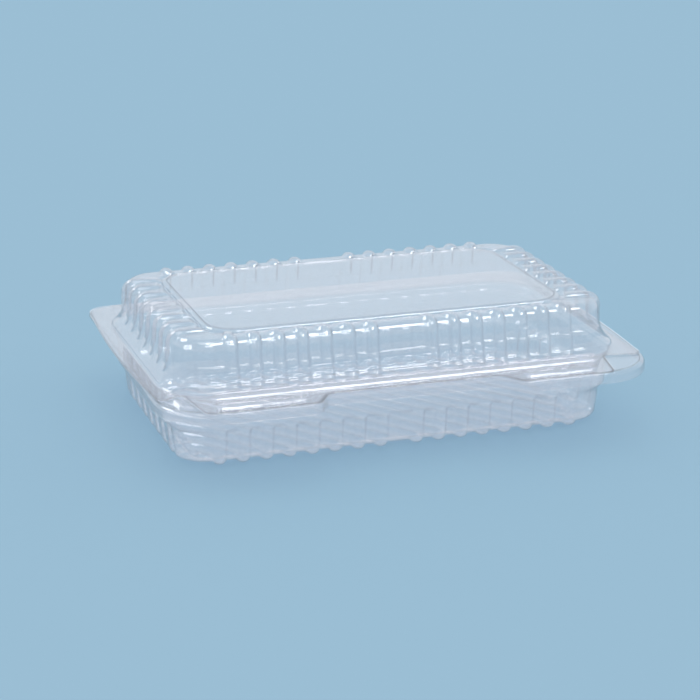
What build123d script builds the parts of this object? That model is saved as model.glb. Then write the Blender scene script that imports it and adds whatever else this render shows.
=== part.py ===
from build123d import *
from math import ceil, cos, hypot, radians, sin
import os

# Clear hinged food pack, formed from one plastic sheet: a ribbed tray and a ribbed
# domed lid, joined along the back by a fold in the same sheet. Millimetres, +Z up,
# the tray stands on z = 0, +X is the long side, the fold is at +Y.

# Sheet and fit
sheet = 0.4                    # wall of the formed sheet
nest_gap = 0.3                 # air between the closed lips
overrun = 4.0                  # how far a cutter passes the face that it cuts
corner_flats = 6               # flats round each corner of the walls

# Length of the pack, which the tray, the dome and the lips' forms along it follow
side_reach = 105.5             # both lips at the corners

# Tray
lip_height = 33.0              # top of the tray's lip
floor_height = 1.5             # underside of the floor's border, between the ribs
tray_end_lip = 10.9            # lip at a short side, outside the floor
floor_half_width = 55.0
floor_corner = 15.0
floor_slope = 3.0              # sloped edge between floor and wall
lower_lean = 1.2               # how far the lower wall leans out on its way up
ledge_height = 15.0            # where the lower wall and its ribs end
ledge_rise = 1.5
ledge_width = 2.6
upper_lean = 0.4
pad_inset = 7.0                # floor border outside the standing pad
pad_slope = 1.5

# Floor ridges
ridge_pitch = 9.0
ridge_width = 3.2
ridge_rise = 1.1
ridge_turn = 38.0              # degrees in plan, from the short side
ridge_margin = 2.5             # from the ends of the ridges to the pad's edge

# Lid dome
shoulder_height = 49.4         # where the walls meet the sloped edge
shoulder_slope = 4.8           # sloped edge between the walls and the top
dome_end_lip = 11.5            # lip at a short side, outside the shoulder
shoulder_half_width = 57.0
shoulder_corner = 15.0
wall_lean = 2.0                # long walls, from shoulder to foot
flare_reach = 8.0              # short walls, from shoulder to foot
flare_corner = 8.0             # extra corner radius at the foot
flare_power = 3
flare_shares = [0.0, 0.25, 1.0]
panel_end_inset = 14.5         # from the shoulder to the raised panel, at a short side
panel_side_inset = 10.0        # and at a long side
panel_corner = 13.0
panel_step = 0.8

# Ribs
rib_radius = 2.9               # from axis to crest
rib_crest_share = 0.55         # half width of the crest and of the foot, of the radius
rib_foot_share = 1.05
rib_sink = 0.4                 # axis of a rib inside the wall that it stands on
rib_inset = 1.5                # how far a rib runs in under the panel or the pad
rib_dip = 0.3                  # and how far below its face
rib_knuckle = 3.0              # sloped run where a rib turns over the edge
lid_rib_crown = 55.7
lid_rib_pitch = 10.0
lid_rib_first = 12.9
tray_rib_pitch = 9.96
tray_rib_first = 7.9
tray_rib_clear = 0.15          # rib above the standing face
end_rib_radius = 2.7
end_rib_crown = 55.3
end_rib_pitch = 11.57
end_rib_fade_height = 39.0     # where the lid's end ribs run out into the flare
end_rib_fade_reach = 2.6

# Lips, seen from above
side_bow = 2.6                 # lid's short edges bulge at the middle
side_back = 63.0
back_corner = 10.0
tip_front = 66.5               # lid's corner tip at -X
notch_inset = 11.0             # thumb notch between that tip and its ear
notch_depth = 57.5
ear_inset = 14.7
far_tip_front = 66.0           # the same at +X, where the notch is wide and shallow
far_notch_inset = 17.0
far_notch_depth = 63.0
far_ear_inset = 21.5
tip_round = 3.5
notch_round = 3.0
ear_front = 85.5
ear_round = 4.0
ear_length = 40.5              # between the ears the middle of the front edge is set back
recess_run = 6.0
recess_front = 75.3
tray_corner = 24.0
tray_set_back = 2.0            # tray's front edge behind the lid's

# Turned-down edge of the tray's lip
skirt_drop = 4.2
skirt_taper = 8.0              # degrees
skirt_full_y = -35.0           # full depth in front of this, none behind the next
skirt_none_y = 15.0

# Lock bar and snap bosses along the front lip
bar_inset = 21.5
bar_width = 5.4
bar_y = -66.3
bar_rise = 2.0
boss_length = 30.0
boss_width = 7.0
boss_inset = 18.0              # from the end of the shorter ear
boss_y = -77.0
boss_rise = 1.8

# Fold
fold_y = 76.7
fold_radius = 0.6
fold_inset = 11.5


# Sizes that follow from those
floor_half_length = side_reach - tray_end_lip
shoulder_half_length = side_reach - dome_end_lip
panel_half_length = shoulder_half_length - panel_end_inset
panel_half_width = shoulder_half_width - panel_side_inset
notch_reach = side_reach - notch_inset
ear_reach = side_reach - ear_inset
far_notch_reach = side_reach - far_notch_inset
far_ear_reach = side_reach - far_ear_inset
recess_reach = far_ear_reach - ear_length
recess_foot = recess_reach - recess_run
bar_half_length = side_reach - bar_inset
boss_x = far_ear_reach - boss_inset
fold_half_length = side_reach - fold_inset
beyond = 4 * side_reach        # larger than the whole pack

# Heights of the lips
lid_bottom = lip_height + nest_gap
lid_lip_top = lid_bottom + sheet
fold_z = lip_height + nest_gap / 2


def rounded(level):
    """A level rectangle whose round corners are a few flats each."""
    z, half_x, half_y, corner = level
    points = []
    for quarter, (side_x, side_y) in enumerate([(1, 1), (-1, 1), (-1, -1), (1, -1)]):
        for step in range(corner_flats + 1):
            turn = radians(90 * (quarter + step / corner_flats))
            points.append((side_x * (half_x - corner) + corner * cos(turn),
                           side_y * (half_y - corner) + corner * sin(turn)))
    return Pos(0, 0, z) * make_face(Polyline(*points, close=True))


def tiers(levels):
    return loft([rounded(level) for level in levels], ruled=True)


def shrunk(levels, rise):
    return [(z + rise, x - sheet, y - sheet, r - sheet) for z, x, y, r in levels]


def bent_bar(radius, trim, points, across):
    """A rib with a flat crest and sloped flanks, swept along a bent line inside its wall.

    The crest faces -Y of the start plane. A trimmed rib lies that far inside a full one.
    """
    crest = rib_crest_share * radius
    foot = rib_foot_share * radius
    profile = make_face(Polyline((-crest, -radius), (crest, -radius), (foot, 0), (foot, radius),
                                 (-foot, radius), (-foot, 0), close=True))
    if trim:
        profile = offset(profile, -trim, kind=Kind.INTERSECTION)
    path = Polyline(*points)
    start = Plane(origin=path @ 0, x_dir=across, z_dir=path % 0)
    return sweep(start * profile, path=path, transition=Transition.RIGHT)


def both_ways(first, pitch, half_run):
    """Places at an equal pitch on both sides of the middle, on the straight run of a wall."""
    steps = [first + pitch * i for i in range(int((half_run - first) / pitch) + 1)]
    return [-s for s in reversed(steps)] + steps


def ribs_on_long_walls(radius, trim, section, places):
    bar = bent_bar(radius, trim, [(0, -y, z) for y, z in section], (1, 0, 0))
    pair = [bar, mirror(bar, Plane.XZ)]
    return [Pos(x, 0, 0) * each for x in places for each in pair]


def ribs_on_short_walls(radius, trim, section, places):
    bar = bent_bar(radius, trim, [(x, 0, z) for x, z in section], (0, 1, 0))
    pair = [bar, mirror(bar, Plane.YZ)]
    return [Pos(0, y, 0) * each for y in places for each in pair]


def frustum(length, width, rise):
    """A raised boss with 45 degree flanks, standing on z = 0 and rooted below it."""
    root = rise
    low = Pos(0, 0, -root) * Rectangle(length + 2 * root, width + 2 * root)
    high = Pos(0, 0, rise) * Rectangle(length - 2 * rise, width - 2 * rise)
    return loft([low, high], ruled=True)


# Lips

def lip_form(top, depth):
    """Everything under the lip's upper face: a slab, the lock bar and the bosses."""
    slab = Pos(0, 0, top) * Box(beyond, beyond, depth,
                                align=(Align.CENTER, Align.CENTER, Align.MAX))
    bar = Pos(0, bar_y, top) * frustum(2 * bar_half_length, bar_width, bar_rise)
    boss = frustum(boss_length, boss_width, boss_rise)
    bosses = [Pos(side * boss_x, boss_y, top) * boss for side in (-1, 1)]
    return slab + [bar] + bosses


def lip_sheet(outline, top):
    low = sheet + bar_rise
    blank = extrude(Pos(0, 0, top - low) * outline, low + bar_rise)
    return (blank & lip_form(top, overrun)) - lip_form(top - sheet, 2 * overrun)


def lid_outline():
    near = [(-side_reach, -tip_front), (-notch_reach, -notch_depth), (-ear_reach, -ear_front)]
    middle = [(-recess_reach, -ear_front), (-recess_foot, -recess_front),
              (recess_foot, -recess_front), (recess_reach, -ear_front)]
    far = [(far_ear_reach, -ear_front), (far_notch_reach, -far_notch_depth),
           (side_reach, -far_tip_front)]
    radii = [tip_round, notch_round, ear_round]
    back_y = fold_y - fold_radius - nest_gap
    front = FilletPolyline((-side_reach, 0), *near, *middle, *far, (side_reach, 0),
                           radius=radii + [ear_round] * len(middle) + radii[::-1])
    back = FilletPolyline((-side_reach, 0), (-side_reach, back_y), (side_reach, back_y),
                          (side_reach, 0), radius=back_corner)
    plain = make_face(front + back)
    bow = [make_face(ThreePointArc((side * side_reach, -notch_depth),
                                   (side * (side_reach + side_bow), 0),
                                   (side * side_reach, side_back))
                     + Line((side * side_reach, side_back), (side * side_reach, -notch_depth)))
           for side in (-1, 1)]
    return plain + bow


def tray_outline():
    front_y = tray_set_back - ear_front
    recess_y = tray_set_back - recess_front
    half = [(side_reach, front_y), (recess_reach, front_y), (recess_foot, recess_y)]
    radii = [tray_corner, ear_round, ear_round]
    front = FilletPolyline((side_reach, 0), *half, *[(-x, y) for x, y in reversed(half)],
                           (-side_reach, 0), radius=radii + radii[::-1])
    back = FilletPolyline((-side_reach, 0), (-side_reach, fold_y), (side_reach, fold_y),
                          (side_reach, 0), radius=back_corner)
    return make_face(front + back)


def tray_skirt(outline):
    edge = Pos(0, 0, lip_height) * outline
    core = Pos(0, 0, lip_height) * offset(outline, -sheet)
    ring = (extrude(edge, -skirt_drop, taper=-skirt_taper)
            - extrude(core, -skirt_drop, taper=-skirt_taper))
    low = lip_height - skirt_drop
    away = make_face(Polyline((skirt_full_y, low), (skirt_none_y, lip_height),
                              (beyond, lip_height), (beyond, low - overrun),
                              (skirt_full_y, low - overrun), close=True))
    return ring - extrude(Plane.YZ * away, beyond, both=True)


# Tray

def tray_levels():
    grown = [(floor_height, -floor_slope),
             (floor_height + floor_slope, 0),
             (ledge_height, lower_lean),
             (ledge_height + ledge_rise, lower_lean + ledge_width),
             (lip_height, lower_lean + ledge_width + upper_lean)]
    return [(z, floor_half_length + g, floor_half_width + g, floor_corner + g) for z, g in grown]


def pad_levels():
    pad = [(floor_height + overrun, 0), (floor_height, 0), (0, pad_slope)]
    return [(z, floor_half_length - pad_inset - g, floor_half_width - pad_inset - g,
             floor_corner - pad_inset - g) for z, g in pad]


def floor_ridges(base):
    """Parallel diagonal ridges, low triangles rising from the pad's face."""
    reach = hypot(floor_half_length, floor_half_width)
    count = ceil(reach / ridge_pitch)
    profile = make_face(Polyline((-ridge_width / 2, 0), (0, ridge_rise), (ridge_width / 2, 0),
                                 (ridge_width / 2, -overrun), (-ridge_width / 2, -overrun),
                                 close=True))
    ridge = extrude(Plane.XZ * profile, reach, both=True)
    rows = [Pos(i * ridge_pitch, 0, 0) * ridge for i in range(-count, count + 1)]
    z, x, y, r = pad_levels()[-1]
    limit = extrude(Pos(0, 0, -overrun) * RectangleRounded(
        2 * (x - ridge_margin), 2 * (y - ridge_margin), r), 2 * overrun)
    turned = [Rot(0, 0, ridge_turn) * row for row in rows]
    return [Pos(0, 0, base) * (row & limit) for row in turned if (row & limit).volume > 0]


def tray_ribs(trim):
    run_z = rib_radius + tray_rib_clear
    face = floor_half_width - rib_sink
    section = [(floor_half_width - pad_inset - pad_slope - rib_inset, run_z + rib_dip),
               (face - rib_knuckle, run_z), (face, run_z + rib_knuckle),
               (face + lower_lean, ledge_height + ledge_rise)]
    along = both_ways(tray_rib_first, tray_rib_pitch, floor_half_length - floor_corner)
    return ribs_on_long_walls(rib_radius, trim, section, along)


def tray():
    levels = tray_levels()
    outer = tiers(levels) + [tiers(pad_levels())] + tray_ribs(0)
    outer = outer - floor_ridges(0)
    inside = shrunk(levels, sheet)
    mouth = (lip_height + overrun, *inside[-1][1:])
    hollow = tiers(inside + [mouth]) + [tiers(shrunk(pad_levels(), sheet))] + tray_ribs(sheet)
    hollow = hollow - floor_ridges(sheet)
    outline = tray_outline()
    fold = Pos(0, fold_y, fold_z) * Rot(0, 90, 0) * Cylinder(fold_radius, 2 * fold_half_length)
    return outer + [lip_sheet(outline, lip_height), tray_skirt(outline), fold] - hollow


# Lid

def dome_levels():
    rise = shoulder_height - lid_bottom
    wall = []
    for share in flare_shares:
        bend = (1 - share) ** flare_power
        wall.append((lid_bottom + rise * share,
                     shoulder_half_length + flare_reach * bend,
                     shoulder_half_width + wall_lean * (1 - share),
                     shoulder_corner + flare_corner * bend))
    top = (shoulder_height + shoulder_slope, shoulder_half_length - shoulder_slope,
           shoulder_half_width - shoulder_slope, shoulder_corner - shoulder_slope)
    return wall + [top]


def panel_levels():
    foot = shoulder_height + shoulder_slope
    panel = [(foot - overrun, 0), (foot, 0), (foot + panel_step, panel_step)]
    return [(z, panel_half_length - g, panel_half_width - g, panel_corner - g) for z, g in panel]


def lid_ribs(trim):
    end_z = shoulder_height + shoulder_slope + panel_step - rib_dip
    long_section = [(shoulder_half_width + wall_lean - rib_sink, lid_bottom - overrun),
                    (shoulder_half_width - rib_sink, lid_rib_crown - rib_radius - rib_knuckle),
                    (shoulder_half_width - rib_sink - rib_knuckle, lid_rib_crown - rib_radius),
                    (panel_half_width - panel_step - rib_inset, end_z - rib_radius)]
    short_section = [(shoulder_half_length + end_rib_fade_reach, end_rib_fade_height),
                     (shoulder_half_length - rib_sink, end_rib_crown - end_rib_radius - rib_knuckle),
                     (shoulder_half_length - rib_sink - rib_knuckle, end_rib_crown - end_rib_radius),
                     (panel_half_length - panel_step - rib_inset, end_z - end_rib_radius)]
    along = both_ways(lid_rib_first, lid_rib_pitch, shoulder_half_length - shoulder_corner)
    across = both_ways(end_rib_pitch / 2, end_rib_pitch, shoulder_half_width - shoulder_corner)
    return (ribs_on_long_walls(rib_radius, trim, long_section, along)
            + ribs_on_short_walls(end_rib_radius, trim, short_section, across))


def lid():
    levels = dome_levels()
    below = Pos(0, 0, lid_bottom) * Box(beyond, beyond, lid_bottom,
                                        align=(Align.CENTER, Align.CENTER, Align.MAX))
    outer = (tiers(levels) + [tiers(panel_levels())] + lid_ribs(0)) - below
    inside = shrunk(levels, -sheet)
    foot = (lid_bottom - overrun, *inside[0][1:])
    hollow = tiers([foot] + inside) + [tiers(shrunk(panel_levels(), -sheet))] + lid_ribs(sheet)
    return outer + [lip_sheet(lid_outline(), lid_lip_top)] - hollow


os.makedirs("parts", exist_ok=True)
for name, piece in (("base_tray", tray()), ("lid", lid())):
    piece.label = name
    print(name, "solids", len(piece.solids()), "volume", round(piece.volume), "mm3",
          "faces", len(piece.faces()), "valid", piece.is_valid)
    export_step(piece, f"parts/{name}.step")
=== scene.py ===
# %% [markdown]
# # A clear hinged food pack
# The pack is one thin sheet of clear PET. A heated sheet was pulled into a mould with a
# tray and a lid side by side, and then folded over along the line between them. The frame
# gives the two solids and the hinge. Here each solid is replaced by a sheet with softly
# rounded ribs, because every bend of a clear sheet shows as a highlight.

# %% Load the frame
from math import asin, atan2, cos, pi, radians, sin, sqrt

import bmesh
import bpy
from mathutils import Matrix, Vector
from mathutils.geometry import delaunay_2d_cdt
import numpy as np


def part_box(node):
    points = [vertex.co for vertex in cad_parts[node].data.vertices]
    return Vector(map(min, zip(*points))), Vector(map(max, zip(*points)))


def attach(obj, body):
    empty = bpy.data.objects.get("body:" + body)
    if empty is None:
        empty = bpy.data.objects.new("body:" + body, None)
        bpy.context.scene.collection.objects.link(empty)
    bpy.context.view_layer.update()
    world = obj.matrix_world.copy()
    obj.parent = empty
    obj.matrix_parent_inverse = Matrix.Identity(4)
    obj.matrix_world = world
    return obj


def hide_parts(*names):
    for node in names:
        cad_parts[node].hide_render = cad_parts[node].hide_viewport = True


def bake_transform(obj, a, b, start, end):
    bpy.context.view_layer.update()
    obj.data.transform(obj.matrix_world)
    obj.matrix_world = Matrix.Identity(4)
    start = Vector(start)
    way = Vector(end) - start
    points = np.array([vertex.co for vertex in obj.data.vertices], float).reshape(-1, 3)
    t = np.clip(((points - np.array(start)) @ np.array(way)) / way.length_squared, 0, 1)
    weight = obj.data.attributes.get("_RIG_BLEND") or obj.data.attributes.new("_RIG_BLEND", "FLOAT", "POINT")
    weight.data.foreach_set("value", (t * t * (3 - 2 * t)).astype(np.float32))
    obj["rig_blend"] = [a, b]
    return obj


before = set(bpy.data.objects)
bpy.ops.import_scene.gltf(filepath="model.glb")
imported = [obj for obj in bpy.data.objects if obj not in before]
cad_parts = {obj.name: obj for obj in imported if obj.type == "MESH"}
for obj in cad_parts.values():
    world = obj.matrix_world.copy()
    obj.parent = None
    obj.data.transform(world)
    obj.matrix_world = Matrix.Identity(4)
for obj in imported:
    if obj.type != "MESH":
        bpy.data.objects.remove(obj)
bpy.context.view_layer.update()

lid_low, lid_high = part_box("lid")
tray_low, tray_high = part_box("base_tray")
MM = 0.001


def in_mm(box):
    """A box in millimetres, rounded for printing."""
    return [[round(c / MM, 1) for c in corner] for corner in box]


print("lid", in_mm((lid_low, lid_high)), "tray", in_mm((tray_low, tray_high)))

# %% [markdown]
# ## Sizes
# All shapes are worked out in millimetres and scaled to metres at the end. A wall of this
# pack is a rounded rectangle that grows and shrinks with its height, so it is kept as the
# rectangle of its corner centres and an offset from that rectangle.

# %% Shared sizes
sheet = 0.4
lip_under = 32.6
lid_lip_top = lid_low[2] / MM + sheet
column_pitch = 0.8
corner_steps = 22
print("lid lip top", round(lid_lip_top, 2))


def smooth_step(low, high, x):
    """0 below low, 1 above high, and a soft rise between them."""
    t = min(1.0, max(0.0, (x - low) / (high - low)))
    return t * t * (3 - 2 * t)


def mix(a, b, t):
    return a + (b - a) * t


def arc(count):
    """Angles from 0 to 90 degrees in equal steps, both ends included."""
    return [pi / 2 * i / count for i in range(count + 1)]


# %% [markdown]
# ## Rows of a formed wall
# A formed wall is one surface with ribs in it. It could be lofted from curves, but ribs
# need a place for every point. So one rounded face is made by bevelling the corners of a
# grid, its rim is extruded row by row, and each row is moved to its place on the wall. A
# vertex attribute holds painted shade, dark lines where the sheet bends sharply, for the material to read.

# %% Rounded faces and rows
def rounded_face(half_x, half_y, corner, steps, pitch):
    """A flat face with round corners, and straight sides cut into short edges."""
    bm = bmesh.new()
    # The layer comes first, because adding it later would make the vertices at hand invalid.
    # This layer holds painted shade, the dark lines at sharp bends.
    bm.verts.layers.float.new("bend")
    bmesh.ops.create_grid(bm, x_segments=1, y_segments=1, size=1)
    bmesh.ops.scale(bm, vec=(half_x, half_y, 1), verts=bm.verts)
    bmesh.ops.bevel(bm, geom=bm.verts[:], offset=corner, offset_type="OFFSET", affect="VERTICES",
                    segments=steps, profile=0.5, material=-1)
    if pitch:
        sides = [e for e in bm.edges if e.calc_length() > 2 * pitch]
        for side in sides:
            cuts = round(side.calc_length() / pitch) - 1
            bmesh.ops.subdivide_edges(bm, edges=[side], cuts=cuts)
    return bm


def column_of(co, centre_x, centre_y):
    """Where a column starts on the rectangle of corner centres, and which way it faces."""
    x = min(centre_x, max(-centre_x, co.x))
    y = min(centre_y, max(-centre_y, co.y))
    out = Vector((co.x - x, co.y - y)).normalized()
    return x, y, out.x, out.y


def edges_of(bm, row):
    """The edges of a closed row of vertices."""
    return [bm.edges.get(pair) for pair in zip(row, row[1:] + row[:1])]


def next_row(bm, row, places, bends=None):
    """Extrude a closed row, move each new vertex to its place and give it its painted shade at sharp bends.
    """
    layer = bm.verts.layers.float["bend"]
    made = bmesh.ops.extrude_edge_only(bm, edges=edges_of(bm, row))["geom"]
    fresh = {g for g in made if isinstance(g, bmesh.types.BMVert)}
    twins = []
    for vert, place, bend in zip(row, places, bends or [0.0] * len(row)):
        twin = next(e.other_vert(vert) for e in vert.link_edges if e.other_vert(vert) in fresh)
        twin.co = place
        twin[layer] = bend
        twins.append(twin)
    return twins


# %% [markdown]
# ## Ribs
# A rib stiffens the thin wall. It could be a separate rounded bar, but on a formed sheet it
# swells from the wall, and its foot is the sharpest bend. So each column of points gets a
# share of the rib's rise, and columns near a foot are moved to it, which keeps it crisp.

# %% Rib places and shares
rib_half_width = 3.0
rib_fullness = 2.4
foot_gap = 0.35
snap_reach = 1.5 * column_pitch
corner_guard = 2 * column_pitch
straight = 1e-6
on_line = 1e-3


def both_ways(first, pitch, count):
    """Places in equal steps on both sides of the middle."""
    steps = [first + pitch * i for i in range(count)]
    return [-s for s in steps] + steps


end_rib_places = both_ways(5.785, 11.57, 4)
print("ribs on a short wall", len(end_rib_places))


def rib_share(run, centres):
    """1 on a rib's crest, falling to 0 at its foot, in a full round form."""
    away = min(abs(run - centre) for centre in centres) / rib_half_width
    return 1 - away ** rib_fullness if away < 1 else 0.0


# Painted shade: a dark line on one foot of each rib only.
def shaded_foot(run, centres):
    """1 along one foot of each rib, on the side that looks dark in the photograph."""
    away = min(abs(run - centre - rib_half_width) for centre in centres)
    return 1.0 if away < on_line else 0.0


# %% Columns of a ribbed wall
def snapped(run, centres):
    """Move a column that is close to a rib's foot or crest onto it, so that the foot is crisp."""
    nearest = min(centres, key=lambda centre: abs(run - centre))
    feet = nearest - rib_half_width, nearest + rib_half_width
    for mark in (feet[0], nearest, feet[1]):
        if abs(run - mark) < column_pitch / 2:
            return mark
    for foot in feet:
        if abs(run - foot) < snap_reach:
            return foot + (foot_gap if run > foot else -foot_gap)
    return run


def snap_column(column, centre, long_places):
    """Snap a column of a straight wall, apart from those next to a corner."""
    x, y, ux, uy = column
    if abs(ux) < straight and abs(x) < centre[0] - corner_guard:
        x = snapped(x, long_places)
    elif abs(uy) < straight and abs(y) < centre[1] - corner_guard:
        y = snapped(y, end_rib_places)
    return x, y, ux, uy


def wall_start(centre, corner, long_places):
    """The first row of a ribbed wall, as an open loop, and the column above each vertex."""
    bm = rounded_face(centre[0] + corner, centre[1] + corner, corner, corner_steps, column_pitch)
    face = bm.faces[:][0]
    row = list(face.verts)
    columns = [snap_column(column_of(v.co, *centre), centre, long_places) for v in row]
    bmesh.ops.delete(bm, geom=[face], context="FACES_ONLY")
    return bm, row, columns


def runs_of(column, corner):
    """How far along its long and its short wall a column stands, corners rolled out flat."""
    x, y, ux, uy = column
    long_run = x + corner * atan2(ux, abs(uy)) if abs(uy) > abs(ux) else None
    short_run = y + corner * atan2(uy, abs(ux)) if abs(ux) >= abs(uy) else None
    return long_run, short_run


# %% [markdown]
# ## Flat lips
# Each lip is flat, with a shaped outline and raised forms that snap together. It could be
# cut from a grid, but that would leave a jagged edge. So its outline is a face with bevelled
# corners, the raised forms are insets, and triangles close the flat part between them. Two
# narrow insets along the edge carry a painted dark line, the shade that a cut edge of clear sheet shows.

# %% Outlines and raised forms
form_corner = 2.0
form_corner_steps = 6
flat_foot = 0.15
flank_steps = 7


def outline_face(points, rounds, steps):
    """A flat face through a few points, with each corner rounded to its own radius."""
    bm = bmesh.new()
    face = bm.faces.new([bm.verts.new((x, y, 0)) for x, y in points])
    corners = list(face.verts)
    for vert, radius in zip(corners, rounds):
        before, after = [(e.other_vert(vert).co - vert.co).normalized() for e in vert.link_edges]
        spread = before.dot(after)
        reach = radius / sqrt((1 - spread) / (1 + spread))
        bmesh.ops.bevel(bm, geom=[vert], offset=reach, offset_type="OFFSET", affect="VERTICES",
                        segments=steps, profile=0.5, material=-1)
    return bm


def raised_form(length, width, rise, pitch, flank):
    """A low plateau with soft flanks, made by insets of one rounded face."""
    bm = rounded_face(length / 2, width / 2, form_corner, form_corner_steps, pitch)
    bmesh.ops.inset_individual(bm, faces=bm.faces[:], thickness=flat_foot, depth=0)
    top = max(bm.faces, key=lambda f: f.calc_area())
    climb = [(1 - cos(pi * i / flank_steps)) / 2 for i in range(flank_steps + 1)]
    for low, high in zip(climb, climb[1:]):
        bmesh.ops.inset_individual(bm, faces=[top], thickness=flank * rise / flank_steps,
                                   depth=rise * (high - low))
    return bm


def join(bm, other, move):
    """Copy another bmesh into this one, moved to its place, and return its rim edges."""
    mesh = bpy.data.meshes.new("carrier")
    bmesh.ops.translate(other, vec=move, verts=other.verts)
    other.to_mesh(mesh)
    other.free()
    before = set(bm.edges)
    bm.from_mesh(mesh)
    bpy.data.meshes.remove(mesh)
    return [e for e in bm.edges if e not in before and len(e.link_faces) == 1]


# %% Rim band and fill
rim_band = 0.6
# Painted shade along the lip's cut edge: a dark line, at half strength where x is beyond rim_end_x.
rim_bend = 1.0
rim_end_x = 90.0
rim_end_bend = 0.5
inside_loops = 2
merge_gap = 1e-4


def rim_inset(bm):
    """Inset a lone face twice and drop its middle, so that a narrow band with a painted dark line is left.
    """
    layer = bm.verts.layers.float.new("bend")
    middle = bm.faces[:][0]
    for bend in (rim_bend, 0.0):
        bmesh.ops.inset_individual(bm, faces=[middle], thickness=rim_band, depth=0)
        for vert in middle.verts:
            vert[layer] = bend if abs(vert.co.x) < rim_end_x else rim_end_bend * bend
    for edge in middle.edges:
        edge.seam = True
    bmesh.ops.delete(bm, geom=[middle], context="FACES_ONLY")


def between_loops(point, sides):
    """True where a line from the point crosses the loops an odd number of times."""
    odd = False
    for a, b in sides:
        if (a.y > point.y) != (b.y > point.y):
            crossing = a.x + (point.y - a.y) * (b.x - a.x) / (b.y - a.y)
            odd = odd != (point.x < crossing)
    return odd


def flat_fill(bm, edges):
    """Close the flat part between an outer loop of edges and the loops inside it."""
    verts = list(dict.fromkeys(v for e in edges for v in e.verts))
    number = {v: i for i, v in enumerate(verts)}
    pairs = [[number[v] for v in e.verts] for e in edges]
    made = delaunay_2d_cdt([v.co.xy for v in verts], pairs, [], inside_loops, merge_gap)
    faces, origins = made[2], made[3]
    sides = [[v.co.xy for v in e.verts] for e in edges]
    for face in faces:
        corners = [verts[origins[i][0]] for i in face]
        middle = sum((v.co.xy for v in corners), Vector((0, 0))) / len(corners)
        # A loop inside a loop is a hole, and the triangles in it are left out.
        if between_loops(middle, sides):
            bm.faces.new(corners)


# %% [markdown]
# ## From surface to sheet
# The real sheet is thin all over, and thinner where forming stretched it, which the eye can't
# tell. Each half could be modelled with an inner and an outer face, but one surface with a
# Solidify modifier is simpler and gives an even wall.

# %% Finished pieces
def finish_piece(bm, name, up):
    """Point the faces outwards, scale to metres, make the object and give it its wall."""
    bmesh.ops.recalc_face_normals(bm, faces=bm.faces)
    flat = max(bm.faces, key=lambda f: f.calc_area())
    if (flat.normal.z > 0) != up:
        bmesh.ops.reverse_faces(bm, faces=bm.faces[:])
    bmesh.ops.scale(bm, vec=(MM, MM, MM), verts=bm.verts)
    for face in bm.faces:
        face.smooth = True
    mesh = bpy.data.meshes.new(name)
    bm.to_mesh(mesh)
    bm.free()
    piece = bpy.data.objects.new(name, mesh)
    bpy.context.collection.objects.link(piece)
    wall = piece.modifiers.new("sheet", "SOLIDIFY")
    wall.thickness = sheet * MM
    wall.offset = -1
    print(name, "faces before the wall", len(mesh.polygons))
    return piece


# %% [markdown]
# ## The lid
# The dome has upright ribs that turn over its shoulder and run on to a raised panel. On the
# short walls the ribs fade out into a flare, and the long walls have a waist and a ledge. It
# could be bevelled from a block, but the ribs would not follow. So a list of rows gives its
# profile from the lip to the shoulder, with arcs where the real sheet bends.

# %% Lid sizes
dome_centre = (79.0, 42.0)
dome_corner = 15.0
shoulder_z = 49.4
shoulder_roll = 4.8
top_z = shoulder_z + shoulder_roll
foot_fillet = 1.3
lid_flat = 0.5
long_foot = 17.0
end_flare = 8.0
waist_z = 43.6
waist_step = 0.9
waist_half = 0.4
ledge_z = 36.4
ledge_step = 1.3
ledge_half = 0.7
rib_rise = 2.4
rib_top_rise = 1.5
end_rib_fade = (36.5, 46.0)
lid_rib_places = both_ways(12.9, 10.0, 7)
print("ribs on a long wall of the lid", len(lid_rib_places))


def long_offset(z):
    """How far the long wall stands out at a height, with small steps at its waist and ledge."""
    share = (z - lid_lip_top) / (shoulder_z - lid_lip_top)
    return (mix(long_foot, dome_corner, share)
            + waist_step * (1 - smooth_step(waist_z - waist_half, waist_z + waist_half, z))
            + ledge_step * (1 - smooth_step(ledge_z - ledge_half, ledge_z + ledge_half, z)))


def short_offset(z):
    """How far the short wall stands out at a height, flared towards the lip."""
    share = (z - lid_lip_top) / (shoulder_z - lid_lip_top)
    return dome_corner + end_flare * (1 - share) ** 3


# %% Lid profile
def dome_rows():
    """Each row's offsets, height, rib direction and rib rise, from the lip to the shoulder."""
    rows = []
    for turn in arc(5):
        z = lid_lip_top + foot_fillet * (1 - cos(turn))
        out = foot_fillet * (1 - sin(turn))
        rise = rib_rise * sin(turn)
        rows.append((long_offset(lid_lip_top + foot_fillet) + out,
                     short_offset(lid_lip_top + foot_fillet) + out, z, sin(turn), cos(turn), rise))
    heights = [ledge_z + ledge_half * k / 3 for k in range(-3, 4)]
    heights += [mix(ledge_z + ledge_half, waist_z - waist_half, t / 4) for t in range(1, 5)]
    heights += [waist_z + waist_half * k / 2 for k in range(-1, 3)]
    heights.append(mix(waist_z + waist_half, shoulder_z, 0.5))
    for z in heights:
        rows.append((long_offset(z), short_offset(z), z, 1, 0, rib_rise))
    for turn in arc(8):
        offset = dome_corner - shoulder_roll * (1 - cos(turn))
        rise = mix(rib_rise, rib_top_rise, sin(turn) ** 2)
        rows.append((offset, offset, shoulder_z + shoulder_roll * sin(turn), cos(turn), sin(turn), rise))
    return rows


def dome_place(column, share, level):
    """The place of one column's point on a row of the dome."""
    x, y, ux, uy = column
    long_out, short_out, z, out, up, rise = level
    lift = rise * (share[0] + share[1] * smooth_step(*end_rib_fade, z))
    return Vector((x + ux * (short_out + out * lift), y + uy * (long_out + out * lift), z + up * lift))


# %% Painted shade along the lid's ribs
# Strengths of the painted dark lines of shade along the ribs' feet, weaker at the front and on the short
# walls.
foot_bend = 0.75
front_bend = 0.6
end_bend = 0.5


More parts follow.
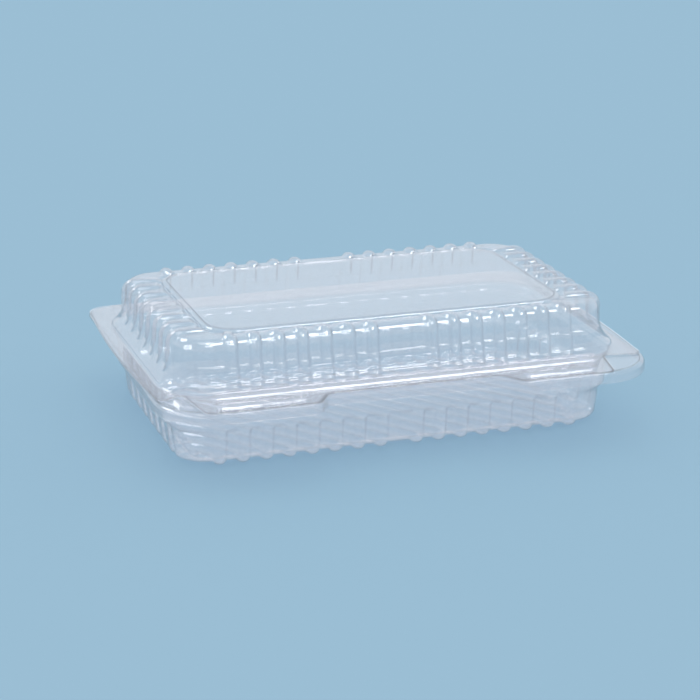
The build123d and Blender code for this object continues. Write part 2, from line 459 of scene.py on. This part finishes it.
def dome_shares(columns):
    """Each column's shares of a long wall's and a short wall's rib, and its line of painted shade."""
    shares, lines = [], []
    for column in columns:
        long_run, short_run = runs_of(column, dome_corner)
        if short_run is None:
            shares.append((rib_share(long_run, lid_rib_places), 0))
            lines.append(shaded_foot(long_run, lid_rib_places))
        else:
            shares.append((0, rib_share(short_run, end_rib_places)))
            lines.append(end_bend * shaded_foot(short_run, end_rib_places))
    return shares, lines


def bend_fade(column, z):
    """The painted dark lines show above the waist at the back, and only over the shoulder at the front."""
    if column[1] > 0:
        return smooth_step(waist_z, waist_z + 1, z)
    return front_bend * smooth_step(shoulder_z, top_z, z)


# %% Lid wall
lid_bm, lid_rim, dome_columns = wall_start(dome_centre, dome_corner, lid_rib_places)
dome_ribs, dome_shade_lines = dome_shares(dome_columns)
dome_levels = dome_rows()
foot = dome_levels[0]
lip_edge = (foot[0] + lid_flat, foot[1] + lid_flat, lid_lip_top, 0, 1, 0)
for vert, column, share in zip(lid_rim, dome_columns, dome_ribs):
    vert.co = dome_place(column, share, lip_edge)
dome_row = lid_rim
for level in dome_levels:
    places = [dome_place(c, s, level) for c, s in zip(dome_columns, dome_ribs)]
    # Painted shade along one foot of each rib, as the wall rises.
    bends = [line * foot_bend * bend_fade(c, level[2]) for line, c in zip(dome_shade_lines, dome_columns)]
    dome_row = next_row(lid_bm, dome_row, places, bends)
print("lid wall faces", len(lid_bm.faces))

# %% [markdown]
# ## The lid's panel
# The flat panel stands above a shallow groove, and the ribs run down into that groove. It
# could be an inset of the dome's top, but then the ribs would end in a plain edge. So each
# column runs on to its own point of the panel's edge, and a quarter arc lifts the panel.

# %% Edge of the panel
panel_centre = (66.5, 34.0)
panel_corner = 13.0
long_ease = 0.0288
short_ease = 0.86
corner_turns = (38, 58)


def panel_point(column):
    """The point of the panel's edge that a column runs to, with columns spread round its corners."""
    x, y, ux, uy = column
    side_x = 1 if x >= 0 else -1
    side_y = 1 if y >= 0 else -1
    far_x = max(0.0, abs(x) - panel_centre[0])
    far_y = max(0.0, abs(y) - panel_centre[1])
    if abs(ux) < straight:
        turn = asin((far_x - long_ease * far_x ** 2) / panel_corner)
        start = min(abs(x), panel_centre[0]), panel_centre[1]
    elif abs(uy) < straight:
        turn = pi / 2 - asin(short_ease * far_y / panel_corner)
        start = panel_centre[0], min(abs(y), panel_centre[1])
    else:
        turn = radians(mix(*corner_turns, atan2(abs(ux), abs(uy)) / (pi / 2)))
        start = panel_centre
    return Vector((side_x * (start[0] + panel_corner * sin(turn)) if start[0] == panel_centre[0] else x,
                   side_y * (start[1] + panel_corner * cos(turn)) if start[1] == panel_centre[1] else y))


# %% Groove
groove_depth = 0.9
groove_start = 0.78
groove_run = 0.173
rib_end_rise = 0.5
strip_shares = (0.2, 0.4, 0.58, 0.7, 0.76, 0.79, 0.82, 0.87, 0.92, 0.945, 0.97, 1.0)
starts = [dome_place(c, (0, 0), dome_levels[-1]) for c in dome_columns]
ends = [panel_point(c) for c in dome_columns]
for t in strip_shares:
    rise = mix(rib_top_rise, rib_end_rise, t ** 2)
    dip = groove_depth * min(1.0, max(0.0, (t - groove_start) / groove_run))
    places = [Vector((mix(start.x, end.x, t), mix(start.y, end.y, t), top_z - dip + rise * max(share)))
              for start, end, share in zip(starts, ends, dome_ribs)]
    # The ribs' painted shade fades out across the strip towards the groove.
    dome_row = next_row(lid_bm, dome_row, places, [foot_bend * (1 - t) * line for line in dome_shade_lines])
print("lid faces to the groove", len(lid_bm.faces))

# %% Raised panel
panel_rise = 1.7
panel_foot = (0.1, 0.08, 0)
arc_start = (0.15, 0.12)
# Each row inside the panel's raised edge: how far inward, and its painted shade, a dark line just inside the
# edge.
panel_shade_line = ((0.3, 0.5), (0.5, 1), (0.8, 0), (1.4, 0))
panel_rows = [panel_foot]
panel_rows += [(arc_start[0] + panel_rise * (1 - cos(turn)), mix(arc_start[1], 1.0, sin(turn)), 0)
               for turn in arc(9)]
panel_rows += [(panel_rise + inward, 1.0, bend) for inward, bend in panel_shade_line]
for inward, up, bend in panel_rows:
    shrink_x = 1 - inward / (panel_centre[0] + panel_corner)
    shrink_y = 1 - inward / (panel_centre[1] + panel_corner)
    places = [Vector((end.x * shrink_x, end.y * shrink_y,
                      top_z - groove_depth + max(up * panel_rise, rib_end_rise * max(share))))
              for end, share in zip(ends, dome_ribs)]
    dome_row = next_row(lid_bm, dome_row, places, [bend] * len(places))
lid_bm.faces.new(dome_row)
print("lid dome faces", len(lid_bm.faces))

# %% [markdown]
# ## The lid's lip
# The lid's lip bows out at the short sides. Two ears at the front snap over bosses on the
# tray, a long bar locks along the front, and a notch beside each ear lets a thumb in. The
# bosses could be plain humps, but the real ones have cross ridges, which a wave gives.

# %% Lip outlines
side_reach = 105.5
side_bow = 2.6
bow_middle = 2.0
bow_half = 61.0
long_side = 90
side_cuts = 24
outline_steps = 8


def lip_outline(points, rounds, bow):
    """A lip's outline, with its two long sides bowed out if a bow is given."""
    bm = outline_face(points, rounds, outline_steps)
    if bow:
        sides = [e for e in bm.edges if abs(e.verts[0].co.y - e.verts[1].co.y) > long_side]
        for side in sides:
            bmesh.ops.subdivide_edges(bm, edges=[side], cuts=side_cuts)
        for v in bm.verts:
            if abs(abs(v.co.x) - side_reach) < on_line:
                share = 1 - ((v.co.y - bow_middle) / bow_half) ** 2
                v.co.x += (1 if v.co.x > 0 else -1) * bow * max(0.0, share)
    return bm


def lip_fill(bm, rim, outline, z, forms):
    """Close the flat lip between the wall's rim, its outline and the raised forms."""
    rim_inset(outline)
    loops = edges_of(bm, rim) + [e for e in join(bm, outline, (0, 0, z)) if e.seam]
    for form, place in forms:
        loops += join(bm, form, (*place, z))
    flat_fill(bm, loops)


# %% Lock bar and snap bosses
bar_length, bar_width, bar_pitch = 168.0, 5.4, 6.0
bar_y = -66.3
boss_width, boss_pitch = 7.0, 0.6
boss_y = -77.0
boss_crown = (0.4, 0.9)
bosses = ((38.0, -66.0), (32.0, 62.5))
grip_start = 0.08
grip_wave = 0.35
grip_pitch = 3.4
grip_dip = 0.5


def snap_boss(length, rise, flank):
    """A snap boss: one smooth hump, and a longer part with cross ridges that grip."""
    bm = raised_form(length, boss_width, rise, boss_pitch, flank)
    for v in bm.verts:
        grip = smooth_step(-grip_start * length, grip_start * length, v.co.x)
        wave = grip_wave * grip * cos(2 * pi * v.co.x / grip_pitch) - grip_dip * (1 - abs(2 * grip - 1))
        v.co.z += smooth_step(boss_crown[0] * rise, boss_crown[1] * rise, v.co.z) * wave
    return bm


def front_forms(bar_rise, boss_rise, flank):
    """The lock bar and the two bosses, each with its place on the lip."""
    forms = [(raised_form(bar_length, bar_width, bar_rise, bar_pitch, flank), (0, bar_y))]
    return forms + [(snap_boss(length, boss_rise, flank), (x, boss_y)) for length, x in bosses]


# %% Lid lip
fold_y = 76.7
lid_back = fold_y - 0.9
lid_front = -85.5
lid_recess = -75.3
recess_in, recess_out = 37.5, 43.5
lid_points = [(-side_reach, lid_back), (-side_reach, -66.5), (-94.5, -57.5), (-90.8, lid_front),
              (-recess_out, lid_front), (-recess_in, lid_recess), (recess_in, lid_recess),
              (recess_out, lid_front), (84.0, lid_front), (88.5, -63.0), (side_reach, -66.0),
              (side_reach, lid_back)]
lid_rounds = [10, 3.5, 3, 4, 4, 4, 4, 4, 4, 3, 3.5, 10]
lip_fill(lid_bm, lid_rim, lip_outline(lid_points, lid_rounds, side_bow), lid_lip_top,
         front_forms(bar_rise=2.0, boss_rise=1.7, flank=0.6))
lid_sheet = finish_piece(lid_bm, "lid_sheet", up=True)
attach(lid_sheet, "cover")
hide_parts("lid")

# %% [markdown]
# ## The tray
# The tray stands on a flat pad. Its long walls have ribs that turn under the floor's edge
# and end at a ledge, its short walls have shallow flutes turned inwards, and small lugs
# under the lip keep nested trays apart. It could be the lid's dome turned over, but its
# profile differs, so it has its own list of rows, from the pad out and up to the lip.

# %% Tray sizes
tray_centre = (79.6, 40.0)
tray_corner = 15.0
floor_z = 1.5
floor_roll = 3.0
floor_edge = tray_corner - floor_roll
pad_offset = 6.5
wall_top = (16.2, 15.0)
mouth_offset = 20.0
mouth_fillet = 1.5
tray_flat = 0.4
lug_z = 29.4
tray_rib_rise = 2.4
floor_rib_rise = 1.3
under_rib_rise = 1.35
flute_share = 0.45
tray_rib_places = both_ways(7.9, 9.96, 8)
print("ribs on a long wall of the tray", len(tray_rib_places))

# Each group of three is one row. Pad: offset from the pad's edge, height and rib rise.
pad_rows = ((0.0, 0.0, 0), (0.4, 0.1, 0), (0.8, 0.6, 0), (1.2, 1.2, 0.6), (1.6, floor_z, 1.1))
# Ledge: offset, height and share of the rib's rise.
ledge_rows = ((16.5, 15.1, 0.9), (16.8, 15.4, 0.8), (17.3, 15.9, 0.5), (17.8, 16.4, 0.2),
              (18.1, 16.7, 0.08), (18.5, 17.3, 0), (18.7, 17.7, 0))
# Lugs: offset, height above their middle and rise.
lug_rows = ((18.9, -1.6, 0), (18.95, -0.8, 0.45), (19.0, 0, 0.75), (19.2, 0.15, 0.55),
            (19.8, 0.75, 0.1), (19.95, 1.0, 0), (mouth_offset, 1.3, 0))


# %% Tray profile
def tray_rows():
    """Each row's offset, height, rib direction and rib rise, from the pad to the lip."""
    rows = [(pad_offset + out, z, 0, -1, rise) for out, z, rise in pad_rows]
    rows += [(mix(rows[-1][0], floor_edge, t / 3), floor_z, 0, -1, floor_rib_rise) for t in range(1, 3)]
    for turn in arc(7):
        rows.append((floor_edge + floor_roll * sin(turn), floor_z + floor_roll * (1 - cos(turn)),
                     sin(turn), -cos(turn), mix(under_rib_rise, tray_rib_rise, sin(turn) ** 2)))
    wall_foot = (tray_corner, floor_z + floor_roll)
    for t in range(1, 5):
        rows.append((mix(wall_foot[0], wall_top[0], t / 4), mix(wall_foot[1], wall_top[1], t / 4),
                     1, 0, tray_rib_rise))
    rows += [(out, z, 1, 0, tray_rib_rise * share) for out, z, share in ledge_rows]
    below, above = ledge_rows[-1], lug_rows[0]
    rows += [(mix(below[0], above[0], t / 3), mix(below[1], lug_z + above[1], t / 3), 1, 0, 0)
             for t in range(1, 4)]
    rows += [(out, lug_z + up, 1, 0, rise) for out, up, rise in lug_rows[1:]]
    for turn in arc(5):
        rows.append((mouth_offset + mouth_fillet * (1 - cos(turn)),
                     lip_under - mouth_fillet * (1 - sin(turn)), 0, 0, 0))
    rows.append((mouth_offset + mouth_fillet + tray_flat, lip_under, 0, 0, 0))
    return rows


def tray_share(column):
    """A column's share of a long wall's rib, or of a short wall's flute, which turns inwards."""
    long_run, short_run = runs_of(column, tray_corner)
    if short_run is None:
        return rib_share(long_run, tray_rib_places)
    return -flute_share * rib_share(short_run, end_rib_places)


def tray_place(column, share, level):
    """The place of one column's point on a row of the tray."""
    x, y, ux, uy = column
    offset, z, out, up, rise = level
    reach = offset + out * rise * share
    return Vector((x + ux * reach, y + uy * reach, z + up * rise * share))


# %% Tray wall
tray_bm, pad_row, tray_columns = wall_start(tray_centre, tray_corner, tray_rib_places)
tray_ribs = [tray_share(column) for column in tray_columns]
tray_levels = tray_rows()
for vert, column, share in zip(pad_row, tray_columns, tray_ribs):
    vert.co = tray_place(column, share, tray_levels[0])
tray_rim = pad_row
for level in tray_levels[1:]:
    places = [tray_place(c, s, level) for c, s in zip(tray_columns, tray_ribs)]
    tray_rim = next_row(tray_bm, tray_rim, places)
print("tray wall faces", len(tray_bm.faces))

# %% [markdown]
# ## The floor's ridges
# Diagonal ridges stiffen the floor. They could be single raised bars, but on a formed sheet
# they melt into the floor. So parallel planes cut the pad into strips, and the strips are
# lifted to a soft wave.

# %% Floor ridges
ridge_pitch = 9.0
ridge_width = 3.6
ridge_rise = 1.1
ridge_turn = radians(38)
ridge_steps = 6
ridge_margin = 2.5
ridge_band = 1.6
pad_corner_steps = 8


def ridged_pad(half_x, half_y, corner):
    """A pad with diagonal ridges that end in a flat band along its edge."""
    bm = rounded_face(half_x, half_y, corner, pad_corner_steps, 0)
    across = Vector((cos(ridge_turn), sin(ridge_turn), 0))
    reach = half_x * abs(across.x) + half_y * abs(across.y)
    count = int(reach // ridge_pitch)
    bmesh.ops.inset_individual(bm, faces=bm.faces[:], thickness=ridge_band, depth=0)
    for i in range(-count, count + 1):
        for k in range(-ridge_steps // 2, ridge_steps // 2 + 1):
            cut = i * ridge_pitch + ridge_width * k / ridge_steps
            bmesh.ops.bisect_plane(bm, geom=bm.verts[:] + bm.edges[:] + bm.faces[:],
                                   plane_co=across * cut, plane_no=across)
    for v in bm.verts:
        along = v.co.dot(across)
        from_crest = abs(along - ridge_pitch * round(along / ridge_pitch)) / (ridge_width / 2)
        rim = any(len(e.link_faces) == 1 for e in v.link_edges)
        if from_crest < 1 and not rim:
            v.co.z += ridge_rise * cos(pi / 2 * from_crest) ** 2
    return bm


pad_half = (tray_centre[0] + pad_offset, tray_centre[1] + pad_offset)
ridged = ridged_pad(pad_half[0] - ridge_margin, pad_half[1] - ridge_margin, pad_offset - ridge_margin)
ridge_rim = join(tray_bm, ridged, (0, 0, 0))
flat_fill(tray_bm, edges_of(tray_bm, pad_row) + ridge_rim)
print("tray faces with its floor", len(tray_bm.faces))

# %% [markdown]
# ## The tray's lip
# The tray's lip carries the lock bar and the bosses that the lid snaps over. Its front edge
# is turned down into a skirt, which runs out along the short sides. A bevel would round the
# edge evenly, but the skirt fades, so the edge is extruded in steps and moved by its place.

# %% Skirt
skirt_drop = 4.2
skirt_roll = 1.4
skirt_flare = 0.1
skirt_fade = (-35.0, 15.0)
skirt_middle_y = -20
skirt_side_pull = 0.3


def turn_down(bm, outline_edges):
    """Extrude the lip's edge down into a skirt that fades towards the back."""
    rim = outline_edges
    rolled = [(skirt_roll * sin(turn), skirt_roll * (1 - cos(turn))) for turn in arc(6)[1:]]
    fall = [(skirt_roll + skirt_flare, mix(skirt_roll, skirt_drop, t / 3)) for t in range(1, 4)]
    last = (0.0, 0.0)
    for reach, drop in rolled + fall:
        made = bmesh.ops.extrude_edge_only(bm, edges=rim)["geom"]
        rim = [g for g in made if isinstance(g, bmesh.types.BMEdge)]
        for v in (g for g in made if isinstance(g, bmesh.types.BMVert)):
            share = 1 - smooth_step(*skirt_fade, v.co.y)
            out = Vector((v.co.x * skirt_side_pull, v.co.y - skirt_middle_y, 0)).normalized()
            v.co += share * ((reach - last[0]) * out - Vector((0, 0, drop - last[1])))
        last = (reach, drop)


# %% Tray lip
tray_back = fold_y - 0.6
tray_front = -82.9
tray_recess = -73.3
tray_points = [(-side_reach, tray_back), (-side_reach, tray_front), (-recess_out, tray_front),
               (-recess_in, tray_recess), (recess_in, tray_recess), (recess_out, tray_front),
               (side_reach, tray_front), (side_reach, tray_back)]
tray_rounds = [10, 24, 4, 4, 4, 4, 24, 10]
tray_outline = lip_outline(tray_points, tray_rounds, 0)
lip_fill(tray_bm, tray_rim, tray_outline, lip_under,
         front_forms(bar_rise=1.2, boss_rise=1.1, flank=1.5))
open_rim = [e for e in tray_bm.edges if len(e.link_faces) == 1]
turn_down(tray_bm, open_rim)
tray_sheet = finish_piece(tray_bm, "tray_sheet", up=False)
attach(tray_sheet, "tray")
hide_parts("base_tray")

# %% [markdown]
# ## The fold
# The fold is the same sheet, bent round on itself between the two lips. It could be a
# cylinder, but then it would tear when the lid opens, so it is a bent strip that follows
# the tray at one edge and the lid at the other.

# %% Fold strip
fold_z = 33.15
fold_bend = 0.35
fold_half_length = 94.0
fold_steps = 10
fold_tray_lap = 0.85
fold_lid_lap = 1.1


def fold_form():
    """A strip that starts on the tray's lip, turns through half a circle and ends on the lid's."""
    bm = bmesh.new()
    start = [bm.verts.new((side * fold_half_length, fold_y - fold_tray_lap, fold_z - fold_bend))
             for side in (-1, 1)]
    row = bm.edges.new(start)
    turns = [pi * i / fold_steps for i in range(fold_steps + 1)]
    places = [(fold_y + fold_bend * sin(turn), fold_z - fold_bend * cos(turn)) for turn in turns]
    places.append((fold_y - fold_lid_lap, fold_z + fold_bend))
    for y, z in places:
        made = bmesh.ops.extrude_edge_only(bm, edges=[row])["geom"]
        row = next(g for g in made if isinstance(g, bmesh.types.BMEdge))
        for v in row.verts:
            v.co.y = y
            v.co.z = z
    return bm


fold_bm = fold_form()
fold_sheet = finish_piece(fold_bm, "fold_sheet", up=True)
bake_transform(fold_sheet, "tray", "cover", start=(0, fold_y * MM, (fold_z - fold_bend) * MM),
         end=(0, fold_y * MM, (fold_z + fold_bend) * MM))

# %% [markdown]
# ## Clear PET
# PET sheet is clear and glossy, with an index near 1.57, so each face mirrors a twentieth
# of what is in front of it and much more at a glancing angle. It could be a glass shader,
# but a 0.4 mm wall bends light too little to see, so it is a film: see-through, with a
# faint pale haze and a sharp gloss. Where the real sheet is bent sharply it turns light
# away and looks dark, so painted shade darkens the film's see-through colour edge-on
# and along the painted dark lines of the vertex attribute.

# %% Colours and nodes
def linear(hex_colour):
    """An sRGB hex colour as linear red, green, blue and alpha."""
    parts = [int(hex_colour[i:i + 2], 16) / 255 for i in (1, 3, 5)]
    return [c / 12.92 if c <= 0.04045 else ((c + 0.055) / 1.055) ** 2.4 for c in parts] + [1.0]


def node(tree, kind, settings=None, inputs=None, links=None):
    """Add one node, set its values and link its inputs."""
    made = tree.nodes.new(kind)
    for name, value in (settings or {}).items():
        setattr(made, name, value)
    for name, value in (inputs or {}).items():
        made.inputs[name].default_value = value
    for name, source in (links or {}).items():
        tree.links.new(source, made.inputs[name])
    return made


# %% PET film
pet_haze = "#F6F5F6"
pet_front_on = "#FDFDFE"
# Painted shade: the darker see-through tint for edge-on film and sharp bends.
pet_painted_shade = "#868D95"
wave_length = 14 * MM
haze_length = 30 * MM


# Clear PET, formed hot on a smooth mould: the ground shows through it with a faint pale
# haze, soft waves make its reflections waver, and where the sheet is bent sharply it has a bright line of
# reflected light or a painted dark line of shade.
def clear_pet():
    material = bpy.data.materials.new("clear_thermoformed_PET")
    material.use_nodes = True
    tree = material.node_tree
    tree.nodes.clear()
    place = node(tree, "ShaderNodeTexCoord")
    waves = node(tree, "ShaderNodeTexNoise", inputs={"Scale": 1 / wave_length, "Detail": 2.0},
                 links={"Vector": place.outputs["Object"]})
    dents = node(tree, "ShaderNodeBump", inputs={"Strength": 0.03, "Distance": 0.25 * MM},
                 links={"Height": waves.outputs["Fac"]})
    glance = node(tree, "ShaderNodeLayerWeight", inputs={"Blend": 0.5},
                  links={"Normal": dents.outputs["Normal"]})
    # A twentieth is mirrored head-on, and all of it at a grazing angle.
    steep = node(tree, "ShaderNodeMath", {"operation": "POWER"}, {1: 5.0}, {0: glance.outputs["Facing"]})
    mirror = node(tree, "ShaderNodeMath", {"operation": "MULTIPLY_ADD"}, {1: 0.95, 2: 0.05},
                  {0: steep.outputs[0]})
    # Painted shade: the film's see-through colour darkens edge-on, and along the painted lines where the
    # sheet bends sharply.
    edge_on_shade = node(tree, "ShaderNodeMath", {"operation": "POWER"}, {1: 6.0}, {0: glance.outputs["Facing"]})
    bend = node(tree, "ShaderNodeAttribute", {"attribute_name": "bend"})
    painted_shade_mask = node(tree, "ShaderNodeMath", {"operation": "MAXIMUM"},
                  links={0: edge_on_shade.outputs[0], 1: bend.outputs["Fac"]})
    front_on = node(tree, "ShaderNodeBsdfTransparent", inputs={"Color": linear(pet_front_on)})
    painted_shade_tint = node(tree, "ShaderNodeBsdfTransparent", inputs={"Color": linear(pet_painted_shade)})
    through = node(tree, "ShaderNodeMixShader",
                   links={0: painted_shade_mask.outputs[0], 1: front_on.outputs[0], 2: painted_shade_tint.outputs[0]})
    # Haze and fine scuffs vary slowly over the sheet.
    haze = node(tree, "ShaderNodeTexNoise", inputs={"Scale": 1 / haze_length, "Detail": 3.0},
                links={"Vector": place.outputs["Object"]})
    spread = {"From Min": 0.3, "From Max": 0.7}
    veil = node(tree, "ShaderNodeMapRange", inputs={**spread, "To Min": 0.09, "To Max": 0.105},
                links={"Value": haze.outputs["Fac"]})
    scuff = node(tree, "ShaderNodeMapRange", inputs={**spread, "To Min": 0.01, "To Max": 0.025},
                 links={"Value": haze.outputs["Fac"]})
    near_side = node(tree, "ShaderNodeBsdfDiffuse", inputs={"Color": linear(pet_haze)})
    far_side = node(tree, "ShaderNodeBsdfTranslucent", inputs={"Color": linear(pet_haze)})
    cloud = node(tree, "ShaderNodeMixShader", inputs={0: 0.5},
                 links={1: near_side.outputs[0], 2: far_side.outputs[0]})
    body = node(tree, "ShaderNodeMixShader",
                links={0: veil.outputs["Result"], 1: through.outputs[0], 2: cloud.outputs[0]})
    gloss = node(tree, "ShaderNodeBsdfGlossy", inputs={"Color": linear("#FFFFFF")},
                 links={"Roughness": scuff.outputs["Result"], "Normal": dents.outputs["Normal"]})
    film = node(tree, "ShaderNodeMixShader",
                links={0: mirror.outputs[0], 1: body.outputs[0], 2: gloss.outputs[0]})
    # Most shadow rays pass, so that the clear pack casts only a faint shadow.
    rays = node(tree, "ShaderNodeLightPath")
    passing = node(tree, "ShaderNodeMath", {"operation": "MULTIPLY"}, {1: 0.85},
                   {0: rays.outputs["Is Shadow Ray"]})
    lit_through = node(tree, "ShaderNodeMixShader",
                       links={0: passing.outputs[0], 1: film.outputs[0], 2: front_on.outputs[0]})
    node(tree, "ShaderNodeOutputMaterial", links={"Surface": lit_through.outputs[0]})
    return material


pet = clear_pet()
for piece in (lid_sheet, tray_sheet, fold_sheet):
    piece.data.materials.clear()
    piece.data.materials.append(pet)
print("PET film nodes", len(pet.node_tree.nodes))

# %% [markdown]
# ## Floor and light
# The picture has one even pale blue ground. It could be a curved backdrop, but a wide matt
# floor and a world of the same colour give it from every side. The world's even fill and a
# soft sun light the pack, so that only its own faint shadow shows. Two far softboxes are
# seen in reflections alone, and give the bends their thin white lines.

# %% Floor
ground = "#9BBED4"
floor_gap = 0.0003
floor_bm = bmesh.new()
bmesh.ops.create_grid(floor_bm, x_segments=1, y_segments=1, size=6)
bmesh.ops.translate(floor_bm, vec=(0, 0, -floor_gap), verts=floor_bm.verts)
floor_mesh = bpy.data.meshes.new("floor")
floor_bm.to_mesh(floor_mesh)
floor_bm.free()
floor = bpy.data.objects.new("floor", floor_mesh)
bpy.context.collection.objects.link(floor)

# Matt paper: an even blue where it is seen, mirrored or seen through. Where it only bounces
# light it is near white, so that the clear sheet isn't tinted by it.
matt = bpy.data.materials.new("matt_paper")
matt.use_nodes = True
paper_tree = matt.node_tree
paper_tree.nodes.clear()
sight = node(paper_tree, "ShaderNodeLightPath")
looked_at = node(paper_tree, "ShaderNodeMath", {"operation": "MAXIMUM"},
                 links={0: sight.outputs["Is Camera Ray"], 1: sight.outputs["Is Glossy Ray"]})
looked_through = node(paper_tree, "ShaderNodeMath", {"operation": "MAXIMUM"},
                      links={0: looked_at.outputs[0], 1: sight.outputs["Is Transmission Ray"]})
blue_paper = node(paper_tree, "ShaderNodeBsdfDiffuse", inputs={"Color": linear(ground)})
bounce = node(paper_tree, "ShaderNodeBsdfDiffuse", inputs={"Color": linear("#E6E6E8")})
paper = node(paper_tree, "ShaderNodeMixShader",
             links={0: looked_through.outputs[0], 1: bounce.outputs[0], 2: blue_paper.outputs[0]})
node(paper_tree, "ShaderNodeOutputMaterial", links={"Surface": paper.outputs[0]})
floor_mesh.materials.append(matt)
print("floor in mm below the pack", round(floor_gap / MM, 1))

# %% World
world = bpy.data.worlds.new("studio")
bpy.context.scene.world = world
world.use_nodes = True
sky = world.node_tree
sky.nodes.clear()
rays = node(sky, "ShaderNodeLightPath")
way = node(sky, "ShaderNodeTexCoord")
axes = node(sky, "ShaderNodeSeparateXYZ", links={0: way.outputs["Generated"]})
# Reflections see a pale room that is brighter towards the back.
backdrop = node(sky, "ShaderNodeMapRange",
                inputs={"From Min": -0.2, "From Max": 0.75, "To Min": 0.95, "To Max": 1.35},
                links={"Value": axes.outputs["Y"]})
mirrored = node(sky, "ShaderNodeBackground", inputs={"Color": linear("#DAE4EE")},
                links={"Strength": backdrop.outputs["Result"]})
fill_light = node(sky, "ShaderNodeBackground", inputs={"Color": linear("#FFFFFF"), "Strength": 0.86})
seen = node(sky, "ShaderNodeBackground", inputs={"Color": linear(ground), "Strength": 1.0})
lit = node(sky, "ShaderNodeMixShader",
           links={0: rays.outputs["Is Glossy Ray"], 1: fill_light.outputs[0], 2: mirrored.outputs[0]})
both = node(sky, "ShaderNodeMixShader",
            links={0: rays.outputs["Is Camera Ray"], 1: lit.outputs[0], 2: seen.outputs[0]})
node(sky, "ShaderNodeOutputWorld", links={"Surface": both.outputs[0]})
print("world nodes", len(sky.nodes))


# %% Lamps
def softbox(name, place, aim, size, radiance):
    """A rectangular area lamp whose face has a given radiance, turned to a point."""
    lamp = bpy.data.lights.new(name, "AREA")
    lamp.shape = "RECTANGLE"
    lamp.size, lamp.size_y = size
    lamp.energy = radiance * pi * size[0] * size[1]
    thing = bpy.data.objects.new(name, lamp)
    thing.location = place
    thing.rotation_euler = (Vector(aim) - Vector(place)).to_track_quat("-Z", "Y").to_euler()
    bpy.context.collection.objects.link(thing)
    return thing


# The boxes don't light the matt floor or the haze: they show in reflections alone.
for name, place, size, radiance in (("overhead_softbox", (1.5, -1.5, 4.5), (3.0, 1.0), 12.0),
                                    ("back_softbox", (-2.0, 3.0, 3.5), (2.0, 1.2), 7.0)):
    softbox(name, place, (0, 0, 0), size, radiance).visible_diffuse = False
    print(name, "size in m", size)
sun = bpy.data.lights.new("soft_sun", "SUN")
sun.energy = 0.45
sun.angle = radians(35)
sun_lamp = bpy.data.objects.new("soft_sun", sun)
sun_lamp.rotation_euler = Vector((0.05, 0.12, -1.0)).to_track_quat("-Z", "Y").to_euler()
bpy.context.collection.objects.link(sun_lamp)

# %% [markdown]
# ## The photograph's view
# The camera was fitted to the photograph from the equal pitch of the ribs, so its place, aim
# and lens are plain values. A clear pack has many walls in line, so light may pass 64 of them.

# %% Camera
camera_place = Vector((-288.50, -859.59, 311.41)) * MM
camera_aim = Vector((-3.8, 0.0, 26.1)) * MM
camera = bpy.data.cameras.new("photo_camera")
camera.lens = 111.34
camera.sensor_width = 36.0
camera.clip_start = 0.01
eye = bpy.data.objects.new("photo_camera", camera)
eye.location = camera_place
eye.rotation_euler = (camera_aim - camera_place).to_track_quat("-Z", "Y").to_euler()
bpy.context.collection.objects.link(eye)
scene = bpy.context.scene
scene.camera = eye
scene.view_settings.view_transform = "Standard"
scene.cycles.transparent_max_bounces = 64
scene.cycles.max_bounces = 8
scene.cycles.diffuse_bounces = 2
scene.cycles.glossy_bounces = 4
print("camera distance in mm", round((camera_aim - camera_place).length / MM))
